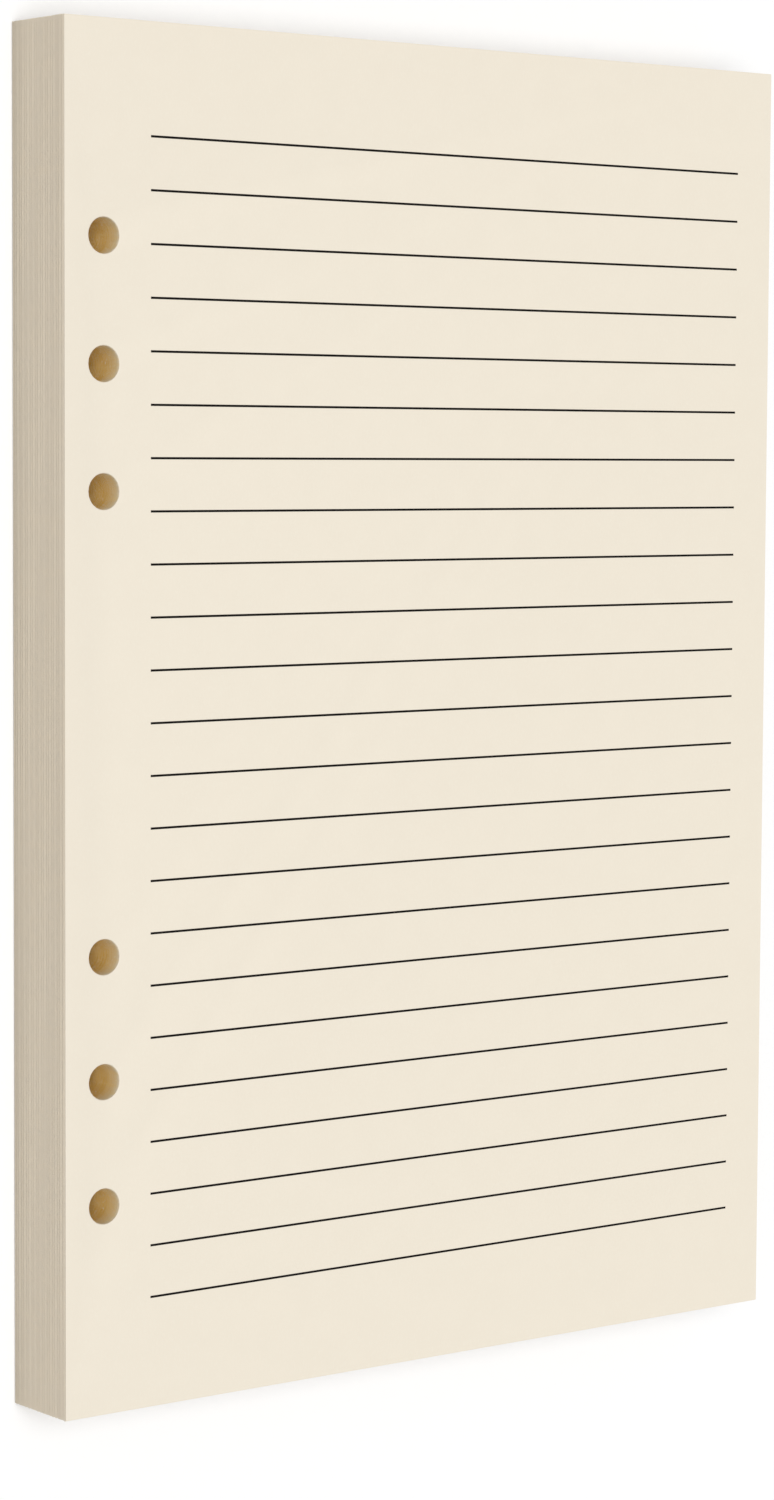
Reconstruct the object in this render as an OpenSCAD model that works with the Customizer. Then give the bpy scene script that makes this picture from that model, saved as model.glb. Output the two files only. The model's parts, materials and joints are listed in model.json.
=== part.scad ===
// Refill paper for a six-ring binder: a pad of loose ruled leaves, punched along one edge.
// The pad lies on its back page, with the middle of that page at the origin.
// X runs from the punched edge to the fore edge, Y from foot to head and Z up out of the front page.

/* [Leaves] */
// Width of a leaf, from the punched edge to the fore edge
leaf_w = 142; // [120:1:160]
// Height of a leaf, from foot to head
leaf_h = 210; // [200:1:260]
// Thickness of one leaf
leaf_t = 0.12; // [0.08:0.01:0.2]
// Number of leaves in the pad
leaf_count = 120; // [20:1:160]
// Furthest that a leaf lies out of line, either way
leaf_jog = 0.1; // [0.02:0.02:0.3]

/* [Ring holes] */
// Diameter of a punched hole
hole_d = 5.5; // [4:0.5:6.5]
// Distance from the punched edge to the middle of a hole
hole_inset = 7; // [5:0.2:9]
// Spacing of the holes in a group
hole_pitch = 19; // [15:0.5:22]
// Distance between the innermost holes of the two groups
group_gap = 70; // [50:1:80]
// Number of holes in a group
group_holes = 3; // [2:1:3]

/* [Ruling] */
// Distance from one ruled line to the next
line_pitch = 8; // [6:0.5:12]
// Width of a ruled line
line_w = 0.35; // [0.1:0.05:0.6]
// Depth to which the ink soaks into a page
ink_depth = 0.04; // [0.01:0.01:0.06]
// Distance from the punched edge to the start of a line
line_start = 15.4; // [13:0.2:30]
// Distance from the end of a line to the fore edge
line_end = 7.4; // [2:0.2:20]
// Distance from the head to the first line
head_margin = 17; // [10:1:40]
// Least distance from the last line to the foot
foot_margin = 17; // [5:1:40]

/* [Hidden] */

page_colour = [0.94, 0.91, 0.84];
ink_colour = [0.09, 0.08, 0.07];
hole_facets = 96;
// How far a shape runs past the faces that it cuts or trims
past_face = 1;
// Keeps a last line that only just fits
just_fits = 0.001;

pad_t = leaf_count * leaf_t;
line_count = floor((leaf_h - head_margin - foot_margin) / line_pitch + just_fits) + 1;
hole_ys = [for (side = [-1, 1], k = [0:group_holes - 1]) side * (group_gap / 2 + k * hole_pitch)];

// Leaf 0 is the front one and lies in line. The others lie at one of jog_places across the jog,
// and a stride between the places of neighbours makes the edges look shuffled.
jog_places = 113;
jog_middle = (jog_places - 1) / 2;
width_stride = 47;
height_stride = 31;
function out_of_line(i, stride) =
    leaf_jog * ((i * stride + jog_middle) % jog_places - jog_middle) / jog_middle;

// Outline of the pad seen edge on, with a step for each leaf
module stepped_outline(size, stride) {
    near_edge = [for (i = [0:leaf_count - 1], face = [i, i + 1])
        [out_of_line(i, stride) - size / 2, pad_t - face * leaf_t]];
    far_edge = [for (k = [len(near_edge) - 1:-1:0]) near_edge[k] + [size, 0]];
    polygon(concat(near_edge, far_edge));
}

// The leaves as they lie, before punching: the outline along one edge crossed with that along the other
module jogged_leaves() {
    intersection() {
        rotate([90, 0, 0])
            linear_extrude(leaf_h + 2 * past_face, center = true)
                stepped_outline(leaf_w, width_stride);
        rotate([90, 0, 90])
            linear_extrude(leaf_w + 2 * past_face, center = true)
                stepped_outline(leaf_h, height_stride);
    }
}

module ring_holes() {
    for (y = hole_ys)
        translate([hole_inset - leaf_w / 2, y, -past_face])
            cylinder(d = hole_d, h = pad_t + 2 * past_face, $fn = hole_facets);
}

// Ruled lines of the page on leaf i, each as thick as given and standing on z = 0
module ruled_lines(i, thickness) {
    translate([
        out_of_line(i, width_stride) + line_start - leaf_w / 2,
        out_of_line(i, height_stride) + leaf_h / 2 - head_margin - line_w / 2,
        0
    ])
        for (n = [0:line_count - 1])
            translate([0, -n * line_pitch, 0])
                cube([leaf_w - line_start - line_end, line_w, thickness]);
}

module leaves() {
    color(page_colour)
        difference() {
            jogged_leaves();
            ring_holes();
            translate([0, 0, pad_t - ink_depth])
                ruled_lines(0, ink_depth + past_face);
            translate([0, 0, -past_face])
                ruled_lines(leaf_count - 1, ink_depth + past_face);
        }
}

module front_ruling() {
    color(ink_colour)
        translate([0, 0, pad_t - ink_depth])
            ruled_lines(0, ink_depth);
}

module back_ruling() {
    color(ink_colour)
        ruled_lines(leaf_count - 1, ink_depth);
}

leaves();
front_ruling();
back_ruling();
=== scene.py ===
# Refill paper for a six-ring binder: a pad of loose ruled leaves lying on its back page.
# Everything is in metres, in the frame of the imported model.
import json
import math

import bpy
from mathutils import Matrix, Vector


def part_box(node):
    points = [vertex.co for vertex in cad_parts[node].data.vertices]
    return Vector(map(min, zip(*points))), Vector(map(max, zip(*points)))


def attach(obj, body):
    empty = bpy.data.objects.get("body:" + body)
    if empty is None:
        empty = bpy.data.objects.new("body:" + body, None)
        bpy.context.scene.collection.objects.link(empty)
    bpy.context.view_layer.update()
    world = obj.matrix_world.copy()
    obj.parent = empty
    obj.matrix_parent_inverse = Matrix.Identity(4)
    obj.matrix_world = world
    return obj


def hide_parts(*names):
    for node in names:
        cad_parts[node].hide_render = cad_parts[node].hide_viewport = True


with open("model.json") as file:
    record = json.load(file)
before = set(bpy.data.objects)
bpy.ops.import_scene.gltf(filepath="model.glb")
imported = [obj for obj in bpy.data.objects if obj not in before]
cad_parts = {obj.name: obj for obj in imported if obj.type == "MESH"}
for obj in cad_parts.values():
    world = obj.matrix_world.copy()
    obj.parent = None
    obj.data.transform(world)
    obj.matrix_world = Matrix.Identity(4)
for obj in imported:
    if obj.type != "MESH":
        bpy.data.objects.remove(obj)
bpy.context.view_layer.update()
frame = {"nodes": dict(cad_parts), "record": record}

MM = 0.001

# The pad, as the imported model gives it
PAD_LOW, PAD_HIGH = (Vector(corner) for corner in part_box("leaves"))
PAD_W, PAD_H, PAD_T = (high - low for low, high in zip(PAD_LOW, PAD_HIGH))
RING_HOLES = [m for m in frame["record"]["mounts"] if m["name"].startswith("ring_hole")]
HOLES = [Vector((*m["pos_m"][:2], 0)) for m in RING_HOLES]
HOLE_R = RING_HOLES[0]["dims"]["r_mm"] * MM

# The leaves, laid out of line with each other by the same rule as the solids
LEAF_COUNT = 120
JOG = 0.1 * MM
JOG_PLACES = 113
WIDTH_STRIDE = 47
HEIGHT_STRIDE = 31
LEAF_W = PAD_W - 2 * JOG
LEAF_H = PAD_H - 2 * JOG
LEAF_PITCH = PAD_T / LEAF_COUNT
# Air between two leaves, and how far a page lies under the ink printed on it
LEAF_GAP = 0.008 * MM
INK_PROUD = 0.01 * MM
# How far a leaf's holes lie out of line, as a share of how far its edges do,
# and how far round a hole the leaf moves with it
HOLE_SLACK = 0.12
HOLE_REACH = 1 * MM

# Sides of a hole in a leaf inside the pad, and in the two leaves whose page shows
INNER_SIDES = 24
OUTER_SIDES = 72
# The rim of a hole, pressed in by the punch: its width and its depth at each step down from the page
RIM_STEPS = [(0.2 * MM, 0.0), (0.1 * MM, 0.012 * MM), (0.035 * MM, 0.04 * MM), (0.0, 0.085 * MM)]
# How far a cutter runs past what it cuts
CUTTER_PAST = 1 * MM
# Points that a cut leaves nearer to each other than this are one point
SAME_POINT = 0.01 * MM
# How far a normal points up or down, at most on a wall and at least on a flat face
WALL_NORMAL = 0.2
FLAT_NORMAL = 0.9
# Faces that meet at less than this are shaded as one
SMOOTH_ANGLE = math.radians(30)

# The order of the materials on a leaf
COVERED, EDGE, HOLE_WALL, SHOWN = range(4)

# The photograph's height in pixels, and the camera that took it
PHOTO_H = 1500
FOCAL_PIXELS = 3882.2
SENSOR_MM = 36
CAMERA_AT = Vector((-385.7, 41.6, 499.6)) * MM
CAMERA_AIM = Vector((-10.4, -6.0, 14.4)) * MM
CAMERA_ROLL = math.radians(0.3)


def only(obj):
    """Select this object and nothing else."""
    bpy.ops.object.select_all(action="DESELECT")
    obj.select_set(True)
    bpy.context.view_layer.objects.active = obj


def place_in_mesh(obj):
    """Move an object's place, turn and size into its mesh."""
    only(obj)
    bpy.ops.object.transform_apply(location=True, rotation=True, scale=True)


def merge_points(obj):
    """Merge the points that a cut has left on top of each other."""
    only(obj)
    bpy.ops.object.mode_set(mode="EDIT")
    bpy.ops.mesh.select_all(action="SELECT")
    bpy.ops.mesh.remove_doubles(threshold=SAME_POINT)
    bpy.ops.object.mode_set(mode="OBJECT")


def join(pieces, name):
    only(pieces[0])
    for piece in pieces[1:]:
        piece.select_set(True)
    bpy.ops.object.join()
    pieces[0].name = pieces[0].data.name = name
    return pieces[0]


def leaf_place(i):
    """Where leaf i lies across and along the pad, counted from the front page."""
    middle = (JOG_PLACES - 1) / 2
    across, along = (
        JOG * ((i * stride + middle) % JOG_PLACES - middle) / middle
        for stride in (WIDTH_STRIDE, HEIGHT_STRIDE)
    )
    return Vector((across, along, 0))


# Camera


def make_camera():
    bpy.ops.object.camera_add(location=CAMERA_AT)
    camera = bpy.context.object
    camera.name = "picture_camera"
    camera.data.sensor_width = SENSOR_MM
    camera.data.lens = FOCAL_PIXELS / PHOTO_H * SENSOR_MM
    forward = (CAMERA_AIM - CAMERA_AT).normalized()
    right = forward.cross(Vector((0, 1, 0))).normalized()
    up = right.cross(forward)
    axes = Matrix((right, up, -forward)).transposed()
    camera.rotation_euler = (Matrix.Rotation(CAMERA_ROLL, 3, -forward) @ axes).to_euler()
    bpy.context.scene.camera = camera


# Leaves


def make_punch(name, sides, page_z, into_page):
    """A tool that cuts all the ring holes, and presses a rim at page_z unless into_page is 0."""
    punches = []
    for hole in HOLES:
        bpy.ops.mesh.primitive_cylinder_add(
            vertices=sides,
            radius=HOLE_R,
            depth=2 * CUTTER_PAST,
            location=hole,
        )
        punch = bpy.context.object
        place_in_mesh(punch)
        if into_page:
            flare(punch, hole, page_z, into_page)
        punches.append(punch)
    return join(punches, name)


def flare(punch, hole, page_z, into_page):
    """Widen one end of a punch in steps, so that it presses a rim. into_page is 1 or -1 along Z."""
    only(punch)
    bpy.ops.object.mode_set(mode="EDIT")
    bpy.ops.mesh.select_all(action="DESELECT")
    bpy.ops.object.mode_set(mode="OBJECT")
    for face in punch.data.polygons:
        face.select = face.normal.z * into_page < -FLAT_NORMAL
    bpy.ops.object.mode_set(mode="EDIT")
    here = -into_page * CUTTER_PAST
    wide = 0.0
    for width, depth in reversed(RIM_STEPS):
        there = page_z + into_page * depth
        if width:
            bpy.ops.mesh.extrude_region_move(TRANSFORM_OT_translate={"value": (0, 0, there - here)})
        else:
            bpy.ops.transform.translate(value=(0, 0, there - here))
        grow = (HOLE_R + width) / (HOLE_R + wide)
        bpy.ops.transform.resize(value=(grow, grow, 1), center_override=(hole.x, hole.y, there))
        here, wide = there, width
    past = {"value": (0, 0, -into_page * CUTTER_PAST)}
    bpy.ops.mesh.extrude_region_move(TRANSFORM_OT_translate=past)
    bpy.ops.object.mode_set(mode="OBJECT")


def cut_leaf(name, low_z, high_z, punch):
    """A leaf between two heights, in line with the pad, with its holes punched."""
    bpy.ops.mesh.primitive_cube_add(
        size=1,
        location=(0, 0, (low_z + high_z) / 2),
        scale=(LEAF_W, LEAF_H, high_z - low_z),
    )
    leaf = bpy.context.object
    leaf.name = leaf.data.name = name
    place_in_mesh(leaf)
    cut = leaf.modifiers.new("punch", "BOOLEAN")
    cut.object = punch
    cut.operation = "DIFFERENCE"
    cut.solver = "EXACT"
    bpy.ops.object.modifier_apply(modifier=cut.name)
    merge_points(leaf)
    bpy.ops.object.shade_smooth_by_angle(angle=SMOOTH_ANGLE)
    return leaf


def near_hole(point, margin):
    """True for a point inside a ring hole or within this margin of its wall."""
    return any((point.xy - hole.xy).length < HOLE_R + margin for hole in HOLES)


def finish_faces(leaf, page, page_side):
    """Give a leaf's faces their materials. page_side is 1 or -1 for the side that shows, or 0."""
    for finish in (finishes["covered_page"], finishes["cut_edge"], finishes["punched_edge"], page):
        leaf.data.materials.append(finish)
    for face in leaf.data.polygons:
        if abs(face.normal.z) < WALL_NORMAL:
            face.material_index = HOLE_WALL if near_hole(face.center, SAME_POINT) else EDGE
        elif face.normal.z * page_side > 0:
            face.material_index = SHOWN
        else:
            face.material_index = COVERED


def lay_leaf(leaf, i):
    """Lay a leaf out of line with the others.

    The holes, punched through the whole pad at once, lie nearer in line than the edges.
    """
    place = leaf_place(i)
    for point in leaf.data.vertices:
        point.co += place * (HOLE_SLACK if near_hole(point.co, HOLE_REACH) else 1)


def make_outer_leaf(name, i, page_z, into_page):
    """The front or the back leaf, whose page shows, with the rims of its holes pressed in."""
    other_z = page_z + into_page * (LEAF_PITCH - INK_PROUD - LEAF_GAP)
    punch = make_punch(name + "_punch", OUTER_SIDES, page_z, into_page)
    leaf = cut_leaf(name, min(page_z, other_z), max(page_z, other_z), punch)
    bpy.data.objects.remove(punch)
    finish_faces(leaf, finishes["page"], -into_page)
    lay_leaf(leaf, i)
    return leaf


def make_inner_leaves():
    """All the leaves between the front and the back one: one leaf, copied and laid at each place."""
    punch = make_punch("inner_punch", INNER_SIDES, 0, 0)
    first = cut_leaf("inner_leaf", -LEAF_PITCH + LEAF_GAP, 0, punch)
    bpy.data.objects.remove(punch)
    finish_faces(first, finishes["covered_page"], 0)
    leaves = []
    for i in range(1, LEAF_COUNT - 1):
        leaf = first.copy()
        leaf.data = first.data.copy()
        lay_leaf(leaf, i)
        leaf.data.transform(Matrix.Translation((0, 0, PAD_HIGH.z - i * LEAF_PITCH)))
        bpy.context.scene.collection.objects.link(leaf)
        leaves.append(leaf)
    bpy.data.objects.remove(first)
    return join(leaves, "inner_leaves")


# Materials


class Finish:
    """A material, with short ways to add and join its nodes."""

    def __init__(self, name, **shader):
        self.material = bpy.data.materials.new(name)
        self.material.use_nodes = True
        self.nodes = self.material.node_tree.nodes
        self.links = self.material.node_tree.links
        self.shader = self.nodes["Principled BSDF"]
        for socket, value in shader.items():
            self.shader.inputs[socket.replace("_", " ")].default_value = value
        self.place = self.add("ShaderNodeTexCoord").outputs["Object"]

    def add(self, kind, inputs=None, **settings):
        """A new node, with its settings, and its inputs set or linked."""
        node = self.nodes.new(kind)
        for setting, value in settings.items():
            setattr(node, setting, value)
        for socket, value in (inputs or {}).items():
            if isinstance(value, bpy.types.NodeSocket):
                self.links.new(value, node.inputs[socket])
            else:
                node.inputs[socket].default_value = value
        return node

    def maths(self, operation, *values):
        """Maths on numbers or sockets."""
        return self.add("ShaderNodeMath", dict(enumerate(values)), operation=operation).outputs[0]

    def stretched(self, x, y, z):
        """The place on the piece, with each direction multiplied."""
        return self.add("ShaderNodeMapping", {"Vector": self.place, "Scale": (x, y, z)}).outputs[0]

    def noise(self, size, detail=2.0, place=None):
        """Noise whose lumps are about this size, from 0 to 1."""
        inputs = {"Vector": place or self.place, "Scale": 1 / size, "Detail": detail}
        return self.add("ShaderNodeTexNoise", inputs).outputs[0]

    def between(self, value, low, high, to_low=0.0, to_high=1.0):
        """A value from low to high, moved to the range from to_low to to_high and kept in it."""
        ends = {"From Min": low, "From Max": high, "To Min": to_low, "To Max": to_high}
        return self.add("ShaderNodeMapRange", {"Value": value, **ends}).outputs[0]

    def blend(self, share, one, other):
        """A colour between two others."""
        inputs = {0: share, 6: one, 7: other}
        return self.add("ShaderNodeMix", inputs, data_type="RGBA").outputs[2]

    def bumps(self, height, deep):
        inputs = {"Height": height, "Distance": deep, "Strength": 1.0}
        bump = self.add("ShaderNodeBump", inputs)
        self.links.new(bump.outputs[0], self.shader.inputs["Normal"])

    def colour(self, socket):
        self.links.new(socket, self.shader.inputs["Base Color"])

    def roughness(self, socket):
        self.links.new(socket, self.shader.inputs["Roughness"])


def screen(red, green, blue):
    """A colour as a screen writes it, from 0 to 255, made linear."""
    parts = []
    for part in (red, green, blue):
        part /= 255
        parts.append(part / 12.92 if part <= 0.04045 else ((part + 0.055) / 1.055) ** 2.4)
    return (*parts, 1.0)


# Colours of the paper, of its cut edges and of the holes' walls
PAGE = screen(239, 230, 213)
PAGE_CLOUD = screen(238, 229, 212)
PAGE_FIBRE = screen(241, 233, 217)
COVERED_PAGE = screen(236, 227, 209)
EDGE_PALE = screen(211, 201, 187)
EDGE_DARK = screen(202, 191, 177)
EDGE_MARK = screen(212, 199, 181)
# Painted shade: the cut edges turn this grey towards the back page
EDGE_PAINTED_SHADE = screen(176, 166, 151)
# Painted shade: the holes' walls are golden, standing in for the warm shade and bounce light inside
# the holes
WALL_PALE = screen(237, 199, 98)
WALL_DARK = screen(230, 189, 88)
WALL_MARK = screen(241, 209, 122)
# Pale flecks: paper burrs on the walls, painted as their highlights
WALL_BURR_HIGHLIGHT = screen(246, 232, 196)
# Painted light: the holes' walls are paler near both pages, and palest at the lip as a painted
# highlight
WALL_PAINTED_LIGHT = screen(237, 217, 174)
WALL_LIP_HIGHLIGHT = screen(250, 242, 224)
INK = screen(12, 10, 9)
INK_THIN = screen(28, 24, 21)

# Sizes of the marks in them
CLOUD = 5 * MM
FIBRE = 0.35 * MM
CUT_FIBRE = 0.09 * MM
BLADE_MARK = 1.2 * MM
PUNCH_MARK = 0.8 * MM
BURR_HIGHLIGHT_SIZE = 0.5 * MM
LEAF_BAND = 1.6 * MM
INK_MOTTLE = 0.3 * MM
# How far the cut edges are greyer above the back page, as painted shade, and how far the holes' walls
# are paler and palest under both pages, as painted light and a painted highlight
PAINTED_SHADE_HEIGHT = 5 * MM
PAINTED_LIGHT_DEPTH = 4 * MM
LIP_HIGHLIGHT_DEPTH = 0.9 * MM
# Depths of the relief
PAGE_TOOTH = 0.006 * MM
CUT_TOOTH = 0.012 * MM
INK_TOOTH = 0.003 * MM


def page_finish():
    """Cream uncoated paper: faintly cloudy, with short fibres and a little tooth."""
    page = Finish("cream_page", Roughness=0.85, Specular_IOR_Level=0.25)
    cloud = page.noise(CLOUD, 3.0)
    fibres = page.noise(FIBRE, 3.0, page.stretched(1.0, 0.4, 1.0))
    tone = page.blend(page.between(cloud, 0.35, 0.65), PAGE, PAGE_CLOUD)
    page.colour(page.blend(page.between(fibres, 0.5, 0.8, 0.0, 0.6), tone, PAGE_FIBRE))
    page.roughness(page.between(fibres, 0.3, 0.7, 0.8, 0.92))
    page.bumps(fibres, PAGE_TOOTH)
    return page.material


def covered_finish():
    """The pages that other leaves cover. They show only where a leaf lies out of line."""
    page = Finish("covered_page", Base_Color=COVERED_PAGE, Roughness=0.86, Specular_IOR_Level=0.25)
    return page.material


def leaf_edges(edge, height, pale, dark):
    """The edges of a stack of leaves: a tone for each leaf and for each band of leaves."""
    leaf = edge.maths("FLOOR", edge.maths("DIVIDE", height, LEAF_PITCH))
    shade = edge.add("ShaderNodeTexWhiteNoise", {"W": leaf}, noise_dimensions="1D").outputs["Value"]
    band_size = {"W": height, "Scale": 1 / LEAF_BAND, "Detail": 2.0}
    bands = edge.add("ShaderNodeTexNoise", band_size, noise_dimensions="1D").outputs[0]
    worn = edge.maths("ADD", edge.maths("MULTIPLY", shade, 0.35), edge.maths("MULTIPLY", bands, 0.65))
    return edge.blend(edge.between(worn, 0.25, 0.75), pale, dark)


def torn_fibres(edge, marks):
    """The rough, dull surface of cut paper, with marks running along the cut."""
    fibres = edge.noise(CUT_FIBRE, 2.0)
    edge.roughness(edge.between(fibres, 0.3, 0.7, 0.84, 0.96))
    edge.bumps(edge.maths("ADD", fibres, edge.maths("MULTIPLY", marks, 0.5)), CUT_TOOTH)


def cut_edge_finish():
    """Edges cut by the guillotine: greyer towards the back leaf as painted shade, with faint upright
    marks.
    """
    edge = Finish("cut_edge", Roughness=0.9, Specular_IOR_Level=0.2)
    height = edge.add("ShaderNodeSeparateXYZ", {0: edge.place}).outputs["Z"]
    tone = leaf_edges(edge, height, EDGE_PALE, EDGE_DARK)
    marks = edge.noise(BLADE_MARK, 2.0, edge.stretched(1, 1, 0.05))
    tone = edge.blend(edge.between(marks, 0.45, 0.75, 0.0, 0.5), tone, EDGE_MARK)
    # Painted shade: the cut edges turn greyer over the lowest few millimetres above the back page
    shade_above_back = edge.between(height, PAD_LOW.z, PAD_LOW.z + PAINTED_SHADE_HEIGHT, 1.0, 0.0)
    edge.colour(edge.blend(edge.maths("POWER", shade_above_back, 1.5), tone, EDGE_PAINTED_SHADE))
    torn_fibres(edge, marks)
    return edge.material


def punched_edge_finish():
    """The walls of the ring holes: a golden tone of painted shade and bounce light, paler near both
    pages as painted light, with a painted highlight at the lip.
    """
    edge = Finish("punched_edge", Roughness=0.9, Specular_IOR_Level=0.2)
    height = edge.add("ShaderNodeSeparateXYZ", {0: edge.place}).outputs["Z"]
    tone = leaf_edges(edge, height, WALL_PALE, WALL_DARK)
    half = PAD_T / 2
    outwards = edge.maths("ABSOLUTE", edge.maths("SUBTRACT", height, PAD_LOW.z + half))
    # Painted light near both pages, and a painted highlight at the lip
    tone = edge.blend(edge.between(outwards, half - PAINTED_LIGHT_DEPTH, half), tone, WALL_PAINTED_LIGHT)
    tone = edge.blend(edge.between(outwards, half - LIP_HIGHLIGHT_DEPTH, half, 0.0, 0.9), tone, WALL_LIP_HIGHLIGHT)
    marks = edge.noise(PUNCH_MARK, 2.0, edge.stretched(1, 1, 0.1))
    tone = edge.blend(edge.between(marks, 0.45, 0.75, 0.0, 0.5), tone, WALL_MARK)
    # Pale flecks: burrs on the walls, painted as their highlights
    burr_highlights = edge.between(edge.noise(BURR_HIGHLIGHT_SIZE, 1.0), 0.68, 0.74, 0.0, 0.6)
    edge.colour(edge.blend(burr_highlights, tone, WALL_BURR_HIGHLIGHT))
    torn_fibres(edge, marks)
    return edge.material


def ink_finish():
    """Thin black printing ink that has soaked into the paper."""
    ink = Finish("ruling_ink", Roughness=0.8, Specular_IOR_Level=0.1)
    mottle = ink.noise(INK_MOTTLE, 3.0)
    ink.colour(ink.blend(ink.between(mottle, 0.4, 0.75), INK, INK_THIN))
    ink.roughness(ink.between(mottle, 0.3, 0.7, 0.75, 0.9))
    ink.bumps(mottle, INK_TOOTH)
    return ink.material


finishes = {
    "page": page_finish(),
    "covered_page": covered_finish(),
    "cut_edge": cut_edge_finish(),
    "punched_edge": punched_edge_finish(),
    "ink": ink_finish(),
}


# The UV map of the inner leaves

# Room between two rows of the map, how many hole walls lie in a row,
# and the share of its room that each fills
ROW_GAP = 0.6 * MM
WALLS_IN_ROW = 3
WALL_FILL = 0.96
# The rows: the long sides, then a short side each with the hole walls of one group
PUNCHED_ROW, FORE_ROW, HEAD_ROW, FOOT_ROW = range(4)
ROW_COUNT = 4


def around(hole, point):
    """The turn about a hole's middle at which a point lies."""
    return math.atan2(point.y - hole.y, point.x - hole.x)


def lay_out_edges(piece):
    """Unroll the edges of the inner leaves in rows, so that each leaf keeps a line of its own."""
    row_h = PAD_T + ROW_GAP
    map_w = PAD_H + ROW_GAP
    wall_w = (map_w - PAD_W) / WALLS_IN_ROW
    full_turn = 2 * math.pi
    layer = piece.data.uv_layers.new(name="OFBake").data
    points = piece.data.vertices
    loops = piece.data.loops
    for face in piece.data.polygons:
        nearest = min(range(len(HOLES)), key=lambda k: (face.center.xy - HOLES[k].xy).length)
        hole = HOLES[nearest]
        for k in face.loop_indices:
            at = points[loops[k].vertex_index].co
            up = at.z - PAD_LOW.z + ROW_GAP / 2
            if face.material_index == COVERED:
                u, row, up = 0, 0, 0
            elif face.material_index == HOLE_WALL:
                turn = around(hole, at)
                turn += full_turn * round((around(hole, face.center) - turn) / full_turn)
                share = 0.5 + turn / full_turn * WALL_FILL
                u = PAD_W + (nearest % WALLS_IN_ROW + share) * wall_w
                row = HEAD_ROW + nearest // WALLS_IN_ROW
            elif abs(face.normal.x) > abs(face.normal.y):
                u, row = at.y - PAD_LOW.y, PUNCHED_ROW if face.normal.x < 0 else FORE_ROW
            else:
                u, row = at.x - PAD_LOW.x, HEAD_ROW if face.normal.y > 0 else FOOT_ROW
            layer[k].uv = (u / map_w, (row * row_h + up) / (ROW_COUNT * row_h))


# The picture's floor and light

FLOOR_SIZE = 6
FLOOR_UNDER_PAD = 0.02 * MM
WHITE = (1, 1, 1, 1)
# What the floor sends back to the pad
FLOOR_PALE = (0.8, 0.8, 0.8, 1)

SKY_LIGHT = 0.34
KEY_LIGHT = 0.67
KEY_ELEVATION = math.radians(70)
KEY_AZIMUTH = math.radians(172)
KEY_SOFTNESS = math.radians(46)


def make_floor():
    """A plain floor that looks white to the camera, and sends back a little less light than that."""
    bpy.ops.mesh.primitive_plane_add(size=FLOOR_SIZE, location=(0, 0, -FLOOR_UNDER_PAD))
    floor = bpy.context.object
    floor.name = "floor"
    finish = Finish("white_floor", Roughness=1.0, Specular_IOR_Level=0.0)
    path = finish.add("ShaderNodeLightPath").outputs
    seen = finish.maths("MAXIMUM", path["Is Camera Ray"], path["Is Glossy Ray"])
    finish.colour(finish.blend(seen, FLOOR_PALE, WHITE))
    floor.data.materials.append(finish.material)


def make_sky():
    """A pale sky all round, which looks white to the camera."""
    world = bpy.data.worlds.new("studio")
    bpy.context.scene.world = world
    world.use_nodes = True
    nodes, links = world.node_tree.nodes, world.node_tree.links
    path = nodes.new("ShaderNodeLightPath")
    seen = nodes.new("ShaderNodeMath")
    seen.operation = "MAXIMUM"
    links.new(path.outputs["Is Camera Ray"], seen.inputs[0])
    links.new(path.outputs["Is Glossy Ray"], seen.inputs[1])
    strength = nodes.new("ShaderNodeMapRange")
    strength.inputs["To Min"].default_value = SKY_LIGHT
    strength.inputs["To Max"].default_value = 1.0
    links.new(seen.outputs[0], strength.inputs["Value"])
    background = nodes["Background"]
    background.inputs["Color"].default_value = WHITE
    links.new(strength.outputs[0], background.inputs["Strength"])


def make_key():
    """A broad soft key, high over the punched edge and a little towards the head."""
    towards = Vector((
        math.cos(KEY_ELEVATION) * math.cos(KEY_AZIMUTH),
        math.cos(KEY_ELEVATION) * math.sin(KEY_AZIMUTH),
        math.sin(KEY_ELEVATION),
    ))
    bpy.ops.object.light_add(
        type="SUN",
        location=towards,
        rotation=towards.to_track_quat("Z", "Y").to_euler(),
    )
    key = bpy.context.object
    key.name = "key_light"
    key.data.energy = KEY_LIGHT * math.pi / math.sin(KEY_ELEVATION)
    key.data.angle = KEY_SOFTNESS


make_camera()
make_floor()
make_sky()
make_key()
bpy.context.scene.view_settings.view_transform = "Standard"

front_leaf = make_outer_leaf("front_leaf", 0, PAD_HIGH.z - INK_PROUD, -1)
back_leaf = make_outer_leaf("back_leaf", LEAF_COUNT - 1, PAD_LOW.z + INK_PROUD, 1)
inner_leaves = make_inner_leaves()
lay_out_edges(inner_leaves)

for piece in (front_leaf, back_leaf, inner_leaves):
    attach(piece, "root")
    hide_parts("leaves")

for ruling in ("front_ruling", "back_ruling"):
    printed = frame["nodes"][ruling]
    printed.data.materials.clear()
    printed.data.materials.append(finishes["ink"])
